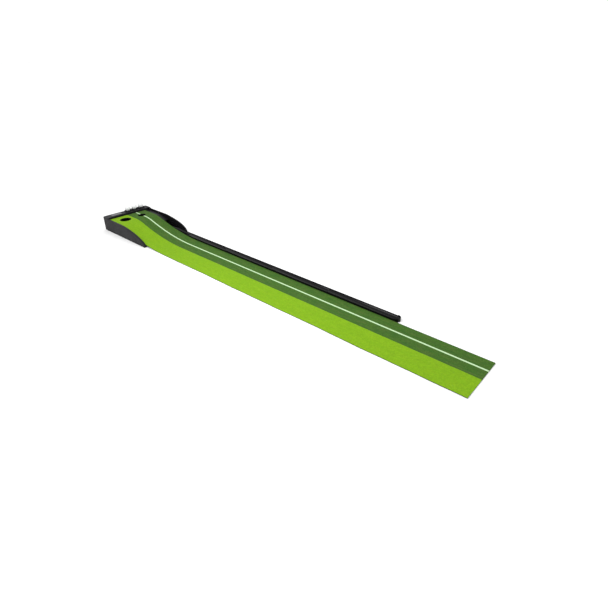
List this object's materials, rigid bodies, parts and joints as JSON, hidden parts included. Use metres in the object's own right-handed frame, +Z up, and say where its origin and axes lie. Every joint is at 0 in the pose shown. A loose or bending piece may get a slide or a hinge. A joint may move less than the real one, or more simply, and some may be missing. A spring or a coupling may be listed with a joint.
{
  "type": "practice putting mat",
  "caption": "Turf strip running up a ramped housing with holes, an inner chute and channel, a ball rack on top, and a return track beside the mat.",
  "frame": {"origin": "on the floor, in the middle of the whole object's box", "axes": "+X along the mat from the housing towards the player, +Y across the mat towards the return track, +Z up"},
  "size_m": [3.015, 0.367, 0.1474],
  "materials": {
    "turf_light": "short curly pile, bright green, matt",
    "turf_dark": "short curly pile, dark green, matt",
    "turf_line": "short curly pile, pale green line",
    "mat_rubber": "dark foam rubber, matt",
    "housing_plastic": "dark grey moulded plastic, fine texture",
    "track_plastic": "black moulded plastic, satin gloss",
    "inner_plastic": "black moulded plastic",
    "plate_grey": "plain grey plate, satin",
    "ball_cover": "white dimpled cover, glossy",
    "foot_rubber": "black rubber",
    "screw_steel": "zinc plated steel"
  },
  "bodies": {
    "housing": {"outlet_channel": "track_plastic", "ramp_deck": "housing_plastic", "cup_ring_large": "inner_plastic", "cup_ring_small": "inner_plastic", "near_cheek": "housing_plastic", "far_cheek": "housing_plastic", "ball_rack": "housing_plastic", "rack_plate": "plate_grey", "base_plate": "inner_plastic", "foot_1": "foot_rubber", "foot_2": "foot_rubber", "foot_3": "foot_rubber", "foot_4": "foot_rubber", "screw_near_1": "screw_steel", "screw_near_2": "screw_steel", "screw_near_3": "screw_steel", "screw_rack_1": "screw_steel", "screw_rack_2": "screw_steel", "screw_far_1": "screw_steel", "screw_far_2": "screw_steel", "screw_far_3": "screw_steel", "ball_chute": "inner_plastic"},
    "mat": {"mat_backing": "mat_rubber", "turf_light": "turf_light", "turf_dark_inner": "turf_dark", "turf_dark_outer": "turf_dark", "aim_line_rear": "turf_line", "aim_line": "turf_line"},
    "track_section_1": {"track_section_1": "track_plastic"},
    "track_section_2": {"track_section_2": "track_plastic"},
    "track_section_3": {"track_section_3": "track_plastic"},
    "track_section_4": {"track_section_4": "track_plastic"},
    "end_stop": {"track_end_stop": "track_plastic"},
    "ball_1": {"ball_1": "ball_cover"},
    "ball_2": {"ball_2": "ball_cover"},
    "ball_3": {"ball_3": "ball_cover"}
  },
  "joints": [
    {"name": "mat_lift", "type": "slide", "parent": "housing", "child": "mat", "axis": [0, 0, 1], "range_m": [0, 0.12]},
    {"name": "section_1_pull", "type": "slide", "parent": "housing", "child": "track_section_1", "axis": [1, 0, 0], "range_m": [0, 0.03]},
    {"name": "section_2_pull", "type": "slide", "parent": "track_section_1", "child": "track_section_2", "axis": [1, 0, 0], "range_m": [0, 0.03]},
    {"name": "section_3_pull", "type": "slide", "parent": "track_section_2", "child": "track_section_3", "axis": [1, 0, 0], "range_m": [0, 0.03]},
    {"name": "section_4_pull", "type": "slide", "parent": "track_section_3", "child": "track_section_4", "axis": [1, 0, 0], "range_m": [0, 0.03]},
    {"name": "end_stop_pull", "type": "slide", "parent": "track_section_4", "child": "end_stop", "axis": [1, 0, 0], "range_m": [0, 0.03]},
    {"name": "ball_1_lift", "type": "slide", "parent": "housing", "child": "ball_1", "axis": [0, 0, 1], "range_m": [0, 0.08]},
    {"name": "ball_2_lift", "type": "slide", "parent": "housing", "child": "ball_2", "axis": [0, 0, 1], "range_m": [0, 0.08]},
    {"name": "ball_3_lift", "type": "slide", "parent": "housing", "child": "ball_3", "axis": [0, 0, 1], "range_m": [0, 0.08]}
  ]
}
